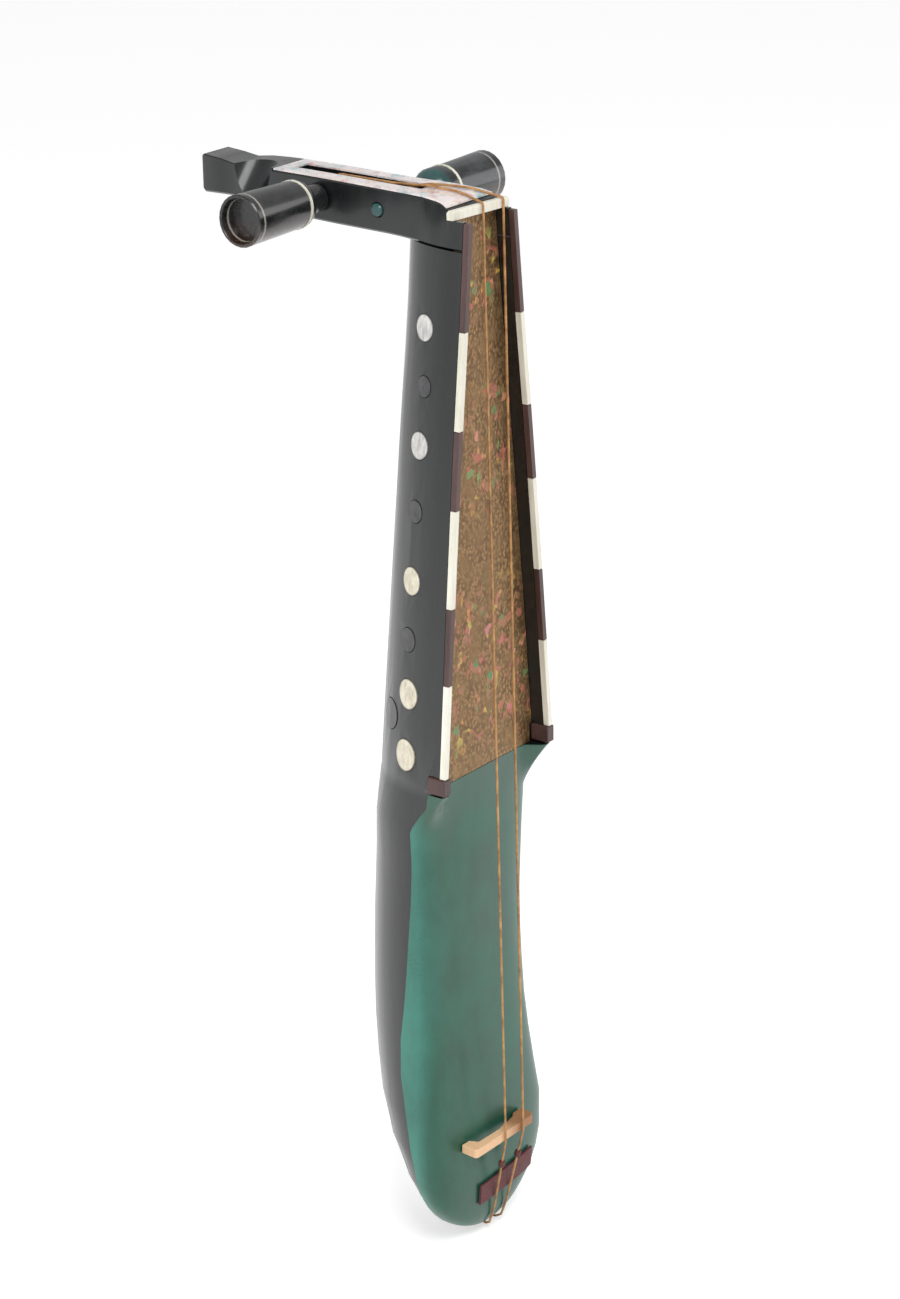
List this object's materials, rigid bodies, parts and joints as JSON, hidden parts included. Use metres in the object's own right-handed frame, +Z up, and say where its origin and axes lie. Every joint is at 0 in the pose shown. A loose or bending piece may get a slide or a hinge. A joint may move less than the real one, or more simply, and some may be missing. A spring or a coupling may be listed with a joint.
{
  "type": "rebab",
  "caption": "Boat-shaped fiddle with a skin belly, brass neck plate, bent-back head, tuning pegs that turn and a reed bridge.",
  "frame": {"origin": "on the middle line, in the plane of the neck's rim, level with the lowest point of the stern, where the instrument is held", "axes": "+Z up the instrument from stern to pegbox, front to -Y, head bends back to +Y, pegs along X"},
  "size_m": [0.1398, 0.1682, 0.5243],
  "materials": {
    "ebonised_wood": "ebonised and polished",
    "brown_wood": "oiled",
    "bone": "polished bone",
    "horn": "polished horn",
    "shell_veneer": "pearly shell",
    "stamped_brass": "stamped and lacquered",
    "green_skin": "dyed stretched skin",
    "reed": "bare reed",
    "gut": "twisted gut",
    "red_leather": "worn leather"
  },
  "bodies": {
    "instrument": {"body_shell": "ebonised_wood", "head_block": "ebonised_wood", "head_dowel": "brown_wood", "tail_pin": "brown_wood", "end_block_left": "brown_wood", "end_block_right": "brown_wood", "wood_strip_left_1": "brown_wood", "wood_strip_left_2": "brown_wood", "wood_strip_left_3": "brown_wood", "wood_strip_right_1": "brown_wood", "wood_strip_right_2": "brown_wood", "wood_strip_right_3": "brown_wood", "bone_strip_left_1": "bone", "bone_strip_left_2": "bone", "bone_strip_left_3": "bone", "bone_strip_right_1": "bone", "bone_strip_right_2": "bone", "bone_strip_right_3": "bone", "bone_disc_1_left": "bone", "bone_disc_2_left": "bone", "bone_disc_3_left": "bone", "bone_disc_4_left": "bone", "bone_disc_5_left": "bone", "bone_disc_1_right": "bone", "bone_disc_2_right": "bone", "bone_disc_3_right": "bone", "bone_disc_4_right": "bone", "bone_disc_5_right": "bone", "horn_disc_1_left": "horn", "horn_disc_2_left": "horn", "horn_disc_3_left": "horn", "horn_disc_4_left": "horn", "horn_disc_1_right": "horn", "horn_disc_2_right": "horn", "horn_disc_3_right": "horn", "horn_disc_4_right": "horn", "nut": "bone", "head_veneer": "shell_veneer", "sound_plate": "stamped_brass", "belly_skin": "green_skin", "bridge": "reed", "string_left": "gut", "string_right": "gut", "string_knot_left": "red_leather", "string_knot_right": "red_leather", "tail_patch": "red_leather"},
    "left_peg": {"peg_left": "ebonised_wood", "peg_ring_left": "bone", "winding_left": "gut"},
    "right_peg": {"peg_right": "ebonised_wood", "peg_ring_right": "bone", "winding_right": "gut"}
  },
  "joints": [
    {"name": "left_peg_turn", "type": "hinge", "parent": "instrument", "child": "left_peg", "pos_m": [0, 0.0898, 0.5105], "axis": [1, 0, 0], "continuous": true},
    {"name": "right_peg_turn", "type": "hinge", "parent": "instrument", "child": "right_peg", "pos_m": [0, 0.0555, 0.509], "axis": [1, 0, 0], "continuous": true}
  ]
}
